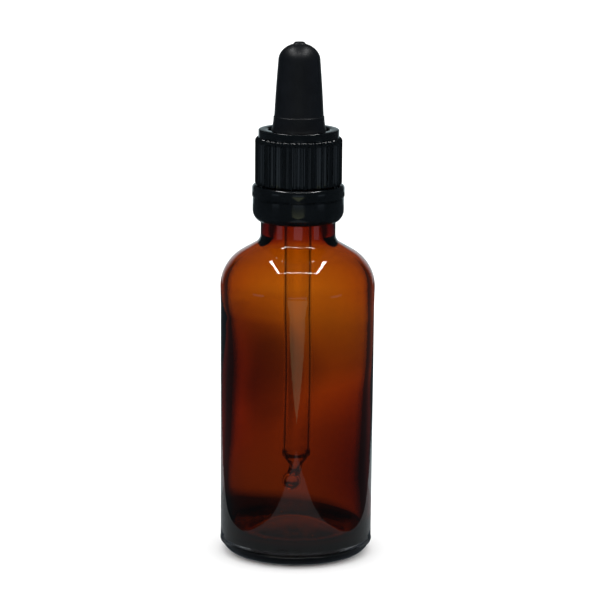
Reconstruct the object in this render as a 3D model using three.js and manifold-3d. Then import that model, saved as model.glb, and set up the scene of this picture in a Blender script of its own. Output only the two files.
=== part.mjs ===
// Amber glass dropper bottle, 50 ml, with a ribbed tamper-evident screw cap, a rubber teat and a
// ball-tipped glass pipette. Millimetres, +Z up. The origin is the centre of the base, on the surface
// that the bottle stands on. Every round piece shares the Z axis; only the pipette's tip leans off it.

import * as THREE from 'three';
import { mergeVertices } from 'three/addons/utils/BufferGeometryUtils.js';
import Module from 'manifold-3d';

const wasm = await Module();
wasm.setup();

// ---------------------------------------------------------------- driving dimensions

// Glass bottle
const BODY_RADIUS = 18.5;
const BODY_WALL = 2.1;
const BODY_TOP = 62;
const SHOULDER_SWELL = 0.1;
const SHOULDER_START = 66.5;
const SHOULDER_ARC = 10;
const SHOULDER_SWEEP = 60;
const HEEL_ARC = 2.3;
const BEARING_RING_WIDTH = 3.2;
const PUSH_UP = 1.5;
const PUSH_UP_STEPS = 4;
const FLOOR_TOP = 5.3;
const INNER_HEEL_ARC = 3.6;
const NECK_RADIUS = 9.1;
const NECK_FILLET = 2.84;
const NECK_BORE = 5.7;
const BORE_FILLET = 5;
const RIM_TOP = 101;
const RIM_ROUND = 0.7;
const FINISH_RADIUS = 7.9;

// Snap bead on the neck, which keeps the tamper band on the bottle
const SNAP_BEAD_RADIUS = 9.95;
const SNAP_BEAD_UNDERSIDE = 86.1;
const SNAP_BEAD_HEIGHT = 1.1;
const SNAP_BEAD_SLOPE_TOP = 89;
const SNAP_BEAD_UNDERCUT = 0.3;

// Screw thread, GL 18
const THREAD_PITCH = 3;
const THREAD_TURNS = 1.5;
const THREAD_CREST_WIDTH = 0.8;
const THREAD_ROOT_WIDTH = 1.6;
const BOTTLE_THREAD_CREST = 8.95;
const BOTTLE_THREAD_TOP = 98.7;
const CAP_THREAD_CREST = 8.15;
const THREAD_BURY = 0.2;
const THREAD_RUN_OUT = 1 / 6;

// Screw cap
const CAP_RIB_COUNT = 36;
const CAP_RIB_CREST = 10.57;
const CAP_RIB_DEPTH = 0.38;
const CAP_SKIRT_BORE = 9.15;
const CAP_BOTTOM = 92.1;
const CAP_BARREL_TOP = 103.2;
const CAP_CORNER = 0.8;
const CAP_COLLAR_RADIUS = 9.8;
const CAP_COLLAR_ROUND = 0.35;
const CAP_TOP = 105.1;
const CAP_HOLE = 7.5;
const CAP_PLATE_UNDERSIDE = 102.75;
const BRIDGE_COUNT = 12;
const BRIDGE_WIDTH = 0.6;
const BRIDGE_RADIAL = 0.5;
const BRIDGE_GAP = 0.1;
const BRIDGE_BURY = 0.2;

// Tamper band
const BAND_TOP = 91.6;
const BAND_BOTTOM = 82.8;
const BAND_LIP_RADIUS = 11.25;
const BAND_RADIUS = 11.1;
const BAND_LIP_BOTTOM = 88.8;
const BAND_GROOVE_RADIUS = 10.9;
const BAND_GROOVE_HEIGHT = 0.5;
const BAND_EDGE = 0.3;
const BAND_ROUND_START = 85.2;
const BAND_FOOT_RADIUS = 9.9;
const BAND_BORE = 10.2;
const BAND_BEAD_BORE = 9.35;
const BAND_BEAD_TOP = 85.8;
const BAND_BEAD_HEIGHT = 1;
const BAND_BEAD_LEAD_IN = 0.2;

// Rubber teat: the seat below its step, and the bulb that is squeezed above it
const TEAT_FLANGE_RADIUS = 8.8;
const TEAT_FLANGE_BOTTOM = 101.1;
const TEAT_FLANGE_TOP = 102.65;
const TEAT_COLLAR_RADIUS = 7.3;
const TEAT_COLLAR_TOP = 103.9;
const TEAT_FLARE_RADIUS = 6.6;
const TEAT_FLARE_TOP = 105.1;
const TEAT_STEP = 108.4;
const TEAT_STEP_RADIUS = 6.15;
const TEAT_STEP_HEIGHT = 0.6;
const TEAT_SLEEVE_RADIUS = 5.1;
const TEAT_SLEEVE_BOTTOM = 93;
const TEAT_SLEEVE_TAPER = 0.4;
const TEAT_SLEEVE_TAPER_HEIGHT = 1.2;
const TEAT_GRIP = 3.55;
const TEAT_GRIP_TOP = 105;
const TEAT_CAVITY = 4.2;
const TEAT_BULB_FOOT = 5.98;
const TEAT_BULB_NECK = 5.1;
const TEAT_BULB_WALL = 1.4;
const TEAT_BULB_SHOULDER = 121.7;
const TEAT_TOP = 126.2;
const TEAT_GATE_RADIUS = 1.4;
const TEAT_GATE_HEIGHT = 0.3;
const TEAT_WALL_TOP = 1.6;
const TEAT_SPLIT_GAP = 0.05;

// Glass pipette
const PIPETTE_RADIUS = 3.5;
const PIPETTE_BORE = 2.5;
const PIPETTE_TOP = 109;
const PIPETTE_BEAD_RADIUS = 3.85;
const PIPETTE_BEAD_BOTTOM = 107;
const PIPETTE_BEAD_EDGE = 0.5;
const PIPETTE_CONE_TOP = 24.2;
const PIPETTE_CONE_BOTTOM = 21.9;
const PIPETTE_NECK_RADIUS = 1.6;
const PIPETTE_NECK_BORE = 0.7;
const PIPETTE_BALL_RADIUS = 2.35;
const PIPETTE_BALL_CENTRE = 17.6;
const PIPETTE_BALL_BORE = 1.3;
const PIPETTE_MOUTH = 0.6;
const PIPETTE_MOUTH_WALL = 0.2;
const PIPETTE_TIP_LEAN = 14;

// Facets round a full turn
const BOTTLE_FACETS = 48;
const CAP_FACETS_PER_RIB = 4;
const SMALL_FACETS = 40;
const PIPETTE_FACETS = 24;
const THREAD_STEPS_PER_TURN = 24;

// How far a cutting profile runs past the face that it opens
const CUT_PAST = 1;

const FULL_TURN = 2 * Math.PI;
const radians = THREE.MathUtils.degToRad;

// ---------------------------------------------------------------- geometry helpers

/** A profile point: distance from the axis, and height. */
function at(radius, height) {
  return new THREE.Vector2(radius, height);
}

/** Points on an arc in the profile plane, from one angle to another, both ends included. */
function arc(centreRadius, centreHeight, size, fromDegrees, toDegrees, steps) {
  const points = [];
  for (let i = 0; i <= steps; i += 1) {
    const angle = radians(fromDegrees + ((toDegrees - fromDegrees) * i) / steps);
    points.push(at(centreRadius + size * Math.cos(angle), centreHeight + size * Math.sin(angle)));
  }
  return points;
}

/** Turns a profile about Z. The profile starts and ends on the axis, or is closed on itself. */
function turn(profile, facets) {
  return new THREE.LatheGeometry(profile, facets).rotateX(Math.PI / 2);
}

/** A profile that closes on itself, for a piece with a hole right through it. */
function closed(profile) {
  return [...profile, profile[0].clone()];
}

/** A geometry's shared vertices merged, without the triangles that the merge makes empty. */
function welded(geometry) {
  const bare = geometry.clone();
  bare.deleteAttribute('normal');
  bare.deleteAttribute('uv');
  const merged = mergeVertices(bare, 1e-4);
  const index = merged.getIndex().array;
  const kept = [];
  for (let i = 0; i < index.length; i += 3) {
    const [a, b, c] = [index[i], index[i + 1], index[i + 2]];
    if (a !== b && b !== c && c !== a) kept.push(a, b, c);
  }
  merged.setIndex(kept);
  return merged;
}

/** Six times the signed volume of a welded geometry: negative when its faces point inwards. */
function signedVolume(geometry) {
  const position = geometry.getAttribute('position');
  const index = geometry.getIndex().array;
  const [a, b, c] = [new THREE.Vector3(), new THREE.Vector3(), new THREE.Vector3()];
  let sum = 0;
  for (let i = 0; i < index.length; i += 3) {
    a.fromBufferAttribute(position, index[i]);
    b.fromBufferAttribute(position, index[i + 1]);
    c.fromBufferAttribute(position, index[i + 2]);
    sum += a.dot(b.cross(c));
  }
  return sum;
}

/** The welded geometry with its faces pointing out. */
function outward(geometry) {
  const body = welded(geometry);
  if (signedVolume(body) < 0) {
    const index = body.getIndex().array;
    for (let i = 0; i < index.length; i += 3) {
      [index[i], index[i + 1]] = [index[i + 1], index[i]];
    }
  }
  return body;
}

/** A solid to cut and join with, from a geometry. */
function solid(geometry) {
  const body = outward(geometry);
  return new wasm.Manifold(new wasm.Mesh({
    numProp: 3,
    vertProperties: new Float32Array(body.getAttribute('position').array),
    triVerts: new Uint32Array(body.getIndex().array),
  }));
}

/** A geometry to show, from a solid. */
function geometryOf(manifold) {
  const mesh = manifold.getMesh();
  const geometry = new THREE.BufferGeometry();
  geometry.setAttribute('position', new THREE.BufferAttribute(new Float32Array(mesh.vertProperties), 3));
  geometry.setIndex(new THREE.BufferAttribute(new Uint32Array(mesh.triVerts), 1));
  geometry.computeVertexNormals();
  return geometry;
}

/**
 * A helical ridge of trapezoid section. Its base lies at one radius and its crest at another, and the
 * crest comes down to the base over the run-out at each end.
 */
function threadRidge(baseRadius, crestRadius, topCentre) {
  const steps = Math.round(THREAD_TURNS * THREAD_STEPS_PER_TURN);
  const runOut = THREAD_STEPS_PER_TURN * THREAD_RUN_OUT;
  const vertices = [];
  for (let i = 0; i <= steps; i += 1) {
    const share = Math.min(1, (i + 0.5) / runOut, (steps - i + 0.5) / runOut);
    const crest = baseRadius + (crestRadius - baseRadius) * share;
    const angle = (FULL_TURN * i) / THREAD_STEPS_PER_TURN;
    const centre = topCentre - THREAD_PITCH * (THREAD_TURNS - i / THREAD_STEPS_PER_TURN);
    const section = [
      [baseRadius, -THREAD_ROOT_WIDTH / 2],
      [crest, -THREAD_CREST_WIDTH / 2],
      [crest, THREAD_CREST_WIDTH / 2],
      [baseRadius, THREAD_ROOT_WIDTH / 2],
    ];
    for (const [radius, offset] of section) {
      vertices.push(radius * Math.cos(angle), radius * Math.sin(angle), centre + offset);
    }
  }
  const corners = 4;
  const triangles = [0, 1, 2, 0, 2, 3];
  for (let i = 0; i < steps; i += 1) {
    for (let j = 0; j < corners; j += 1) {
      const a = i * corners + j;
      const b = i * corners + ((j + 1) % corners);
      triangles.push(a, a + corners, b, b, a + corners, b + corners);
    }
  }
  const end = steps * corners;
  triangles.push(end, end + 2, end + 1, end, end + 3, end + 2);
  const geometry = new THREE.BufferGeometry();
  geometry.setAttribute('position', new THREE.Float32BufferAttribute(vertices, 3));
  geometry.setIndex(triangles);
  return geometry;
}

// ---------------------------------------------------------------- glass bottle

/**
 * The rising part of a profile from a wall, round the shoulder's arc, along a straight slope and
 * through a hollow fillet to the neck.
 */
function shoulderProfile(startRadius, arcSize, neckRadius, fillet) {
  const sweep = radians(SHOULDER_SWEEP);
  const arcCentre = startRadius - arcSize;
  const arcEnd = at(arcCentre + arcSize * Math.cos(sweep), SHOULDER_START + arcSize * Math.sin(sweep));
  const filletDrop = fillet * (1 - Math.cos(sweep));
  const slope = (arcEnd.x - neckRadius - filletDrop) / Math.sin(sweep);
  const filletTop = arcEnd.y + slope * Math.cos(sweep) + fillet * Math.sin(sweep);
  return [
    ...arc(arcCentre, SHOULDER_START, arcSize, 0, SHOULDER_SWEEP, 6),
    ...arc(neckRadius + fillet, filletTop, fillet, 180 + SHOULDER_SWEEP, 180, 4),
  ];
}

/** The outside of the bottle, from the middle of its base up to the rim. */
function bottleOutside() {
  const ringOuter = BODY_RADIUS - HEEL_ARC;
  const ringInner = ringOuter - BEARING_RING_WIDTH;
  const beadShoulder = SNAP_BEAD_UNDERSIDE + SNAP_BEAD_HEIGHT;
  const pushUp = [at(0, PUSH_UP)];
  for (let i = 1; i < PUSH_UP_STEPS; i += 1) {
    const share = i / PUSH_UP_STEPS;
    pushUp.push(at(ringInner * share, PUSH_UP * Math.cos((Math.PI / 2) * share)));
  }
  return [
    ...pushUp,
    at(ringInner, 0),
    ...arc(ringOuter, HEEL_ARC, HEEL_ARC, -90, 0, 5),
    at(BODY_RADIUS, BODY_TOP),
    ...shoulderProfile(BODY_RADIUS + SHOULDER_SWELL, SHOULDER_ARC, NECK_RADIUS, NECK_FILLET),
    at(NECK_RADIUS, SNAP_BEAD_UNDERSIDE - SNAP_BEAD_UNDERCUT),
    at(SNAP_BEAD_RADIUS, SNAP_BEAD_UNDERSIDE),
    at(SNAP_BEAD_RADIUS, beadShoulder),
    at(FINISH_RADIUS, SNAP_BEAD_SLOPE_TOP),
    ...arc(FINISH_RADIUS - RIM_ROUND, RIM_TOP - RIM_ROUND, RIM_ROUND, 0, 90, 3),
    at(0, RIM_TOP),
  ];
}

/** The hollow of the bottle, from the middle of its floor up through the mouth. */
function bottleInside() {
  const wall = BODY_RADIUS - BODY_WALL;
  const swollenWall = wall + SHOULDER_SWELL;
  return [
    at(0, FLOOR_TOP),
    ...arc(wall - INNER_HEEL_ARC, FLOOR_TOP + INNER_HEEL_ARC, INNER_HEEL_ARC, -90, 0, 5),
    at(wall, BODY_TOP),
    ...shoulderProfile(swollenWall, SHOULDER_ARC - BODY_WALL, NECK_BORE, BORE_FILLET),
    at(NECK_BORE, RIM_TOP - RIM_ROUND),
    at(NECK_BORE + RIM_ROUND / 2, RIM_TOP + CUT_PAST),
    at(0, RIM_TOP + CUT_PAST),
  ];
}

function bottleGeometry() {
  const blank = solid(turn(bottleOutside(), BOTTLE_FACETS));
  const thread = solid(threadRidge(FINISH_RADIUS - THREAD_BURY, BOTTLE_THREAD_CREST, BOTTLE_THREAD_TOP));
  return geometryOf(blank.add(thread).subtract(solid(turn(bottleInside(), BOTTLE_FACETS))));
}

// ---------------------------------------------------------------- screw cap

/** The cap's outside, turned as one body, with its barrel pressed in between the ribs. */
function capOutside() {
  const barrelTop = CAP_BARREL_TOP - CAP_CORNER;
  const profile = [
    at(0, CAP_BOTTOM),
    at(CAP_RIB_CREST, CAP_BOTTOM),
    ...arc(CAP_RIB_CREST - CAP_CORNER, barrelTop, CAP_CORNER, 0, 90, 3),
    at(CAP_COLLAR_RADIUS, CAP_TOP - CAP_COLLAR_ROUND),
    at(CAP_COLLAR_RADIUS - CAP_COLLAR_ROUND, CAP_TOP),
    at(0, CAP_TOP),
  ];
  const geometry = turn(profile, CAP_RIB_COUNT * CAP_FACETS_PER_RIB);
  const position = geometry.getAttribute('position');
  for (let i = 0; i < position.count; i += 1) {
    const [x, y, z] = [position.getX(i), position.getY(i), position.getZ(i)];
    const radius = Math.hypot(x, y);
    const onBarrel = radius > CAP_COLLAR_RADIUS + CAP_RIB_DEPTH / 4 && z < CAP_BARREL_TOP;
    if (onBarrel) {
      const phase = (Math.atan2(y, x) / FULL_TURN) * CAP_RIB_COUNT;
      const valley = (1 - Math.cos(phase * FULL_TURN)) / 2;
      const pressed = (radius - CAP_RIB_DEPTH * valley) / radius;
      position.setXY(i, x * pressed, y * pressed);
    }
  }
  return geometry;
}

/** The cap's hollow: the skirt's bore under the top plate, and the hole that the teat stands in. */
function capInside() {
  return [
    at(0, CAP_BOTTOM - CUT_PAST),
    at(CAP_SKIRT_BORE, CAP_BOTTOM - CUT_PAST),
    at(CAP_SKIRT_BORE, CAP_PLATE_UNDERSIDE),
    at(CAP_HOLE, CAP_PLATE_UNDERSIDE),
    at(CAP_HOLE, CAP_TOP - CAP_COLLAR_ROUND),
    at(CAP_HOLE + CAP_COLLAR_ROUND / 2, CAP_TOP + CUT_PAST),
    at(0, CAP_TOP + CUT_PAST),
  ];
}

/** The snapped stubs under the skirt, where the bridges to the tamper band were. */
function bridgeStubs() {
  const height = CAP_BOTTOM - BAND_TOP - BRIDGE_GAP + BRIDGE_BURY;
  const stubs = [];
  for (let i = 0; i < BRIDGE_COUNT; i += 1) {
    const stub = new THREE.BoxGeometry(BRIDGE_RADIAL, BRIDGE_WIDTH, height);
    stub.translate(CAP_SKIRT_BORE + BRIDGE_RADIAL, 0, BAND_TOP + BRIDGE_GAP + height / 2);
    stubs.push(solid(stub.rotateZ((FULL_TURN * i) / BRIDGE_COUNT)));
  }
  return stubs;
}

function capGeometry() {
  let cap = solid(capOutside()).subtract(solid(turn(capInside(), BOTTLE_FACETS)));
  const threadTop = BOTTLE_THREAD_TOP - THREAD_PITCH / 2;
  cap = cap.add(solid(threadRidge(CAP_SKIRT_BORE + THREAD_BURY, CAP_THREAD_CREST, threadTop)));
  for (const stub of bridgeStubs()) cap = cap.add(stub);
  return geometryOf(cap);
}

// ---------------------------------------------------------------- tamper band

function bandGeometry() {
  const footHeight = BAND_ROUND_START - BAND_BOTTOM;
  const footWidth = BAND_RADIUS - BAND_FOOT_RADIUS;
  const foot = [];
  const footSteps = 4;
  for (let i = 0; i <= footSteps; i += 1) {
    const angle = (Math.PI / 2) * (i / footSteps);
    const radius = BAND_FOOT_RADIUS + footWidth * Math.sin(angle);
    foot.push(at(radius, BAND_ROUND_START - footHeight * Math.cos(angle)));
  }
  const beadBottom = BAND_BEAD_TOP - BAND_BEAD_HEIGHT;
  return outward(turn(closed([
    ...foot,
    at(BAND_RADIUS, BAND_LIP_BOTTOM - BAND_GROOVE_HEIGHT),
    at(BAND_GROOVE_RADIUS, BAND_LIP_BOTTOM - BAND_GROOVE_HEIGHT / 2),
    at(BAND_LIP_RADIUS, BAND_LIP_BOTTOM),
    at(BAND_LIP_RADIUS, BAND_TOP - BAND_EDGE),
    at(BAND_LIP_RADIUS - BAND_EDGE, BAND_TOP),
    at(BAND_BORE, BAND_TOP),
    at(BAND_BORE, BAND_BEAD_TOP),
    at(BAND_BEAD_BORE, BAND_BEAD_TOP - BAND_BEAD_LEAD_IN),
    at(BAND_BEAD_BORE, beadBottom),
    at(BAND_BEAD_BORE + BAND_BEAD_LEAD_IN, BAND_BOTTOM),
  ]), BOTTLE_FACETS));
}

// ---------------------------------------------------------------- rubber teat

/** The seat: a flange that seals on the rim, a collar in the cap's hole and a sleeve on the pipette. */
function teatSeatGeometry() {
  return outward(turn(closed([
    at(TEAT_GRIP, TEAT_SLEEVE_BOTTOM),
    at(TEAT_SLEEVE_RADIUS - TEAT_SLEEVE_TAPER, TEAT_SLEEVE_BOTTOM),
    at(TEAT_SLEEVE_RADIUS, TEAT_SLEEVE_BOTTOM + TEAT_SLEEVE_TAPER_HEIGHT),
    at(TEAT_SLEEVE_RADIUS, TEAT_FLANGE_BOTTOM),
    at(TEAT_FLANGE_RADIUS, TEAT_FLANGE_BOTTOM),
    at(TEAT_FLANGE_RADIUS, TEAT_FLANGE_TOP),
    at(TEAT_COLLAR_RADIUS, TEAT_FLANGE_TOP),
    at(TEAT_COLLAR_RADIUS, TEAT_COLLAR_TOP),
    at(TEAT_FLARE_RADIUS, TEAT_FLARE_TOP),
    at(TEAT_STEP_RADIUS, TEAT_STEP - TEAT_STEP_HEIGHT),
    at(TEAT_STEP_RADIUS, TEAT_STEP - TEAT_SPLIT_GAP),
    at(TEAT_CAVITY, TEAT_STEP - TEAT_SPLIT_GAP),
    at(TEAT_CAVITY, TEAT_GRIP_TOP + TEAT_CAVITY - TEAT_GRIP),
    at(TEAT_GRIP, TEAT_GRIP_TOP),
  ]), SMALL_FACETS));
}

/** The bulb: tapered, domed and hollow, with its cavity open at the foot. */
function teatBulbGeometry() {
  const domeHeight = TEAT_TOP - TEAT_GATE_HEIGHT - TEAT_BULB_SHOULDER;
  const dome = [];
  const domeSteps = 5;
  for (let i = 0; i <= domeSteps; i += 1) {
    const angle = (Math.PI / 2) * (i / domeSteps);
    const radius = TEAT_BULB_NECK * Math.cos(angle);
    if (radius > TEAT_GATE_RADIUS) dome.push(at(radius, TEAT_BULB_SHOULDER + domeHeight * Math.sin(angle)));
  }
  const cavityTop = TEAT_TOP - TEAT_WALL_TOP;
  const cavityNeck = TEAT_BULB_NECK - TEAT_BULB_WALL;
  return outward(turn([
    at(0, cavityTop),
    at(cavityNeck / 2, cavityTop - cavityNeck / 6),
    at(cavityNeck, TEAT_BULB_SHOULDER),
    at(TEAT_CAVITY, TEAT_STEP),
    at(TEAT_BULB_FOOT, TEAT_STEP),
    ...dome,
    at(TEAT_GATE_RADIUS, TEAT_TOP),
    at(0, TEAT_TOP),
  ], SMALL_FACETS));
}

// ---------------------------------------------------------------- glass pipette

/** The profile of the hollow ball at the tip, outside or inside, from its neck down to its mouth. */
function ballArc(size, neckRadius, mouthRadius) {
  const neckAngle = THREE.MathUtils.radToDeg(Math.acos(neckRadius / size));
  const mouthAngle = THREE.MathUtils.radToDeg(Math.acos(mouthRadius / size));
  return arc(0, PIPETTE_BALL_CENTRE, size, neckAngle, -mouthAngle, 6);
}

function pipetteGeometry() {
  const innerBall = ballArc(PIPETTE_BALL_BORE, PIPETTE_NECK_BORE, PIPETTE_MOUTH).reverse();
  const geometry = turn(closed([
    at(PIPETTE_BORE, PIPETTE_TOP),
    at(PIPETTE_BEAD_RADIUS - PIPETTE_BEAD_EDGE, PIPETTE_TOP),
    at(PIPETTE_BEAD_RADIUS, PIPETTE_TOP - PIPETTE_BEAD_EDGE),
    at(PIPETTE_BEAD_RADIUS, PIPETTE_BEAD_BOTTOM + PIPETTE_BEAD_EDGE),
    at(PIPETTE_RADIUS, PIPETTE_BEAD_BOTTOM),
    at(PIPETTE_RADIUS, PIPETTE_CONE_TOP),
    at(PIPETTE_NECK_RADIUS, PIPETTE_CONE_BOTTOM),
    ...ballArc(PIPETTE_BALL_RADIUS, PIPETTE_NECK_RADIUS, PIPETTE_MOUTH + PIPETTE_MOUTH_WALL),
    ...innerBall,
    at(PIPETTE_NECK_BORE, PIPETTE_CONE_BOTTOM),
    at(PIPETTE_BORE, PIPETTE_CONE_TOP + PIPETTE_BEAD_EDGE),
  ]), PIPETTE_FACETS);
  const position = geometry.getAttribute('position');
  const lean = Math.tan(radians(PIPETTE_TIP_LEAN));
  for (let i = 0; i < position.count; i += 1) {
    const below = Math.max(0, PIPETTE_CONE_BOTTOM - position.getZ(i));
    position.setX(i, position.getX(i) - lean * below);
  }
  return outward(geometry);
}

// ---------------------------------------------------------------- assembly

function piece(name, geometry, color, roughness, metalness = 0) {
  const material = new THREE.MeshStandardMaterial({ color, roughness, metalness });
  const mesh = new THREE.Mesh(geometry, material);
  mesh.name = name;
  return mesh;
}

const dropperBottle = new THREE.Group();
dropperBottle.add(piece('bottle', bottleGeometry(), 0x6b2c08, 0.08));
dropperBottle.add(piece('tamper_band', bandGeometry(), 0x0c0e11, 0.28));
dropperBottle.add(piece('screw_cap', capGeometry(), 0x0b0d10, 0.26));
dropperBottle.add(piece('teat_seat', teatSeatGeometry(), 0x101215, 0.6));
dropperBottle.add(piece('teat_bulb', teatBulbGeometry(), 0x101215, 0.55));
dropperBottle.add(piece('pipette', pipetteGeometry(), 0xdfe6e6, 0.05));

export default dropperBottle;
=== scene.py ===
"""Studio scene of a 50 ml amber glass dropper bottle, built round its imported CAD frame.

Every piece is modelled in the frame's own coordinates: metres, +Z up along the bottle's axis, with the
origin at the centre of the base. Sizes are written in millimetres and turned to metres by MM.
"""

from __future__ import annotations

import logging
import math
from collections.abc import Callable, Sequence
from dataclasses import dataclass, field
from enum import Enum
from typing import Any

import bpy
from mathutils import Matrix, Vector


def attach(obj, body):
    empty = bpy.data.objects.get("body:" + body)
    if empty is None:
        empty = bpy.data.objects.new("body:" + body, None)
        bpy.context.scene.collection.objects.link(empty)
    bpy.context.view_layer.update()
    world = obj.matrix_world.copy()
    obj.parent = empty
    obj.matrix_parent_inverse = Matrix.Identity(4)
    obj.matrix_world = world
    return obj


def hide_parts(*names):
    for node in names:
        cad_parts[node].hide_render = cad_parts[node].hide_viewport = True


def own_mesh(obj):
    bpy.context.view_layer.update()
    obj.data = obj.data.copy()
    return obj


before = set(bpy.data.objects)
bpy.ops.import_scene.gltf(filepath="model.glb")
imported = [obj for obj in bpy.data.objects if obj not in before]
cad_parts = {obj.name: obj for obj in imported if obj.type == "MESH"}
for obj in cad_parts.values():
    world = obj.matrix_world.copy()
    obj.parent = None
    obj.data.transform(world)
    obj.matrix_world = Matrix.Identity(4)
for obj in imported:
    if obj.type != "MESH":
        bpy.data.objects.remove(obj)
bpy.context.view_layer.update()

LOG = logging.getLogger("dropper_bottle")

MM = 0.001
FULL_TURN = 2 * math.pi
RING_GAP = 0.002
WELD = RING_GAP * MM
HAIR = 1e-7

Outline = list[tuple[float, float]]
Piece = bpy.types.Object
VertexTest = Callable[[Vector], bool]
Fade = tuple[bpy.types.NodeSocket, float, float, float, float]


class SeenBy(Enum):
    """Which rays meet a studio card."""

    MIRRORS = ("glossy",)
    GLASS = ("transmission",)
    MIRRORS_AND_GLASS = ("glossy", "transmission")


# ---------------------------------------------------------------- colour and nodes


def linear(hex_colour: str) -> tuple[float, float, float, float]:
    """Turns an sRGB hex colour to linear light.

    Args:
        hex_colour: Six hex digits, such as "6b2c08".

    Returns:
        Linear red, green and blue, and an alpha of 1.
    """
    channels = [int(hex_colour[i : i + 2], 16) / 255 for i in (0, 2, 4)]
    light = [c / 12.92 if c <= 0.04045 else ((c + 0.055) / 1.055) ** 2.4 for c in channels]
    return (light[0], light[1], light[2], 1.0)


def add_node(
    tree: bpy.types.NodeTree, kind: str, inputs: dict[Any, Any] | None = None, **settings: Any
) -> bpy.types.Node:
    """Adds a node, sets its properties, and fills or links its sockets.

    Args:
        tree: The node tree that the node joins.
        kind: The node's type name, such as "ShaderNodeBump".
        inputs: Socket name or number to a value, or to an output socket to link.
        **settings: Properties of the node itself.

    Returns:
        The new node.
    """
    node = tree.nodes.new(kind)
    for name, value in settings.items():
        setattr(node, name, value)
    for key, value in (inputs or {}).items():
        if isinstance(value, bpy.types.NodeSocket):
            tree.links.new(value, node.inputs[key])
        else:
            node.inputs[key].default_value = value
    return node


def blank_material(name: str) -> bpy.types.Material:
    """Makes a material whose node tree is empty.

    Args:
        name: The material's name.

    Returns:
        The new material.
    """
    material = bpy.data.materials.new(name)
    material.use_nodes = True
    material.node_tree.nodes.clear()
    return material


# ---------------------------------------------------------------- finishes


@dataclass(frozen=True)
class SodaLimeGlass:
    """Soda-lime glass, clear or coloured in the melt, with the faint ripple that its forming leaves.

    The colour sits in the wall's volume, so thick glass is darker and redder than thin glass.
    """

    name: str
    absorbed_tint: tuple[float, float, float]
    absorption_per_metre: float
    ripple_length: float
    ripple_height: float
    ripple_stretch: float = 1.0
    ior: float = 1.52

    def material(self) -> bpy.types.Material:
        """Builds the glass shader, its absorption and its ripple.

        Returns:
            The glass.
        """
        made = blank_material(self.name)
        tree = made.node_tree
        place = add_node(tree, "ShaderNodeTexCoord")
        lie = add_node(
            tree,
            "ShaderNodeMapping",
            {"Vector": place.outputs["Object"], "Scale": (1, 1, 1 / self.ripple_stretch)},
        )
        ripple = add_node(
            tree,
            "ShaderNodeTexNoise",
            {"Vector": lie.outputs["Vector"], "Scale": 1 / (self.ripple_length * MM), "Detail": 1.0},
        )
        bump = add_node(
            tree,
            "ShaderNodeBump",
            {"Height": ripple.outputs["Fac"], "Distance": self.ripple_height * MM, "Strength": 1.0},
        )
        shader = add_node(
            tree,
            "ShaderNodeBsdfPrincipled",
            {
                "Base Color": (1, 1, 1, 1),
                "Roughness": 0.0,
                "IOR": self.ior,
                "Transmission Weight": 1.0,
                "Normal": bump.outputs["Normal"],
            },
        )
        inside = add_node(
            tree,
            "ShaderNodeVolumeAbsorption",
            {"Color": (*self.absorbed_tint, 1.0), "Density": self.absorption_per_metre},
        )
        add_node(
            tree,
            "ShaderNodeOutputMaterial",
            {"Surface": shader.outputs["BSDF"], "Volume": inside.outputs["Volume"]},
        )
        return made


@dataclass(frozen=True)
class MouldedPolymer:
    """A moulded black polymer: its colour, its gloss and the grain that the mould leaves on it."""

    name: str
    colour: str
    worn_colour: str
    roughness: float
    roughness_spread: float
    grain_length: float
    grain_height: float
    ior: float
    cloud_length: float = 6.0
    shade_edges: tuple[float, float] = (0.35, 0.75)

    def material(self) -> bpy.types.Material:
        """Builds the polymer's shader, with its mottled gloss and its fine grain.

        Returns:
            The polymer.
        """
        made = blank_material(self.name)
        tree = made.node_tree
        place = add_node(tree, "ShaderNodeTexCoord")
        clouds = add_node(
            tree,
            "ShaderNodeTexNoise",
            {"Vector": place.outputs["Object"], "Scale": 1 / (self.cloud_length * MM), "Detail": 4.0},
        )
        colour = self._mottle(tree, clouds)
        gloss = add_node(
            tree,
            "ShaderNodeMapRange",
            {
                "Value": clouds.outputs["Fac"],
                "To Min": self.roughness - self.roughness_spread,
                "To Max": self.roughness + self.roughness_spread,
            },
        )
        grain = add_node(
            tree,
            "ShaderNodeTexNoise",
            {
                "Vector": place.outputs["Object"],
                "Scale": 1 / (self.grain_length * MM),
                "Detail": 2.0,
            },
        )
        bump = add_node(
            tree,
            "ShaderNodeBump",
            {"Height": grain.outputs["Fac"], "Distance": self.grain_height * MM, "Strength": 0.6},
        )
        shader = add_node(
            tree,
            "ShaderNodeBsdfPrincipled",
            {
                "Base Color": colour,
                "Roughness": gloss.outputs["Result"],
                "IOR": self.ior,
                "Normal": bump.outputs["Normal"],
            },
        )
        add_node(tree, "ShaderNodeOutputMaterial", {"Surface": shader.outputs["BSDF"]})
        return made

    def _mottle(self, tree: bpy.types.NodeTree, clouds: bpy.types.Node) -> bpy.types.NodeSocket:
        """Lets the colour drift between the two shades with the clouds.

        Args:
            tree: The material's node tree.
            clouds: The noise that steers the drift.

        Returns:
            The colour's socket.
        """
        ramp = add_node(tree, "ShaderNodeValToRGB", {"Fac": clouds.outputs["Fac"]})
        shades = (self.colour, self.worn_colour)
        for stop, edge, shade in zip(ramp.color_ramp.elements, self.shade_edges, shades):
            stop.position = edge
            stop.color = linear(shade)
        return ramp.outputs["Color"]


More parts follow.
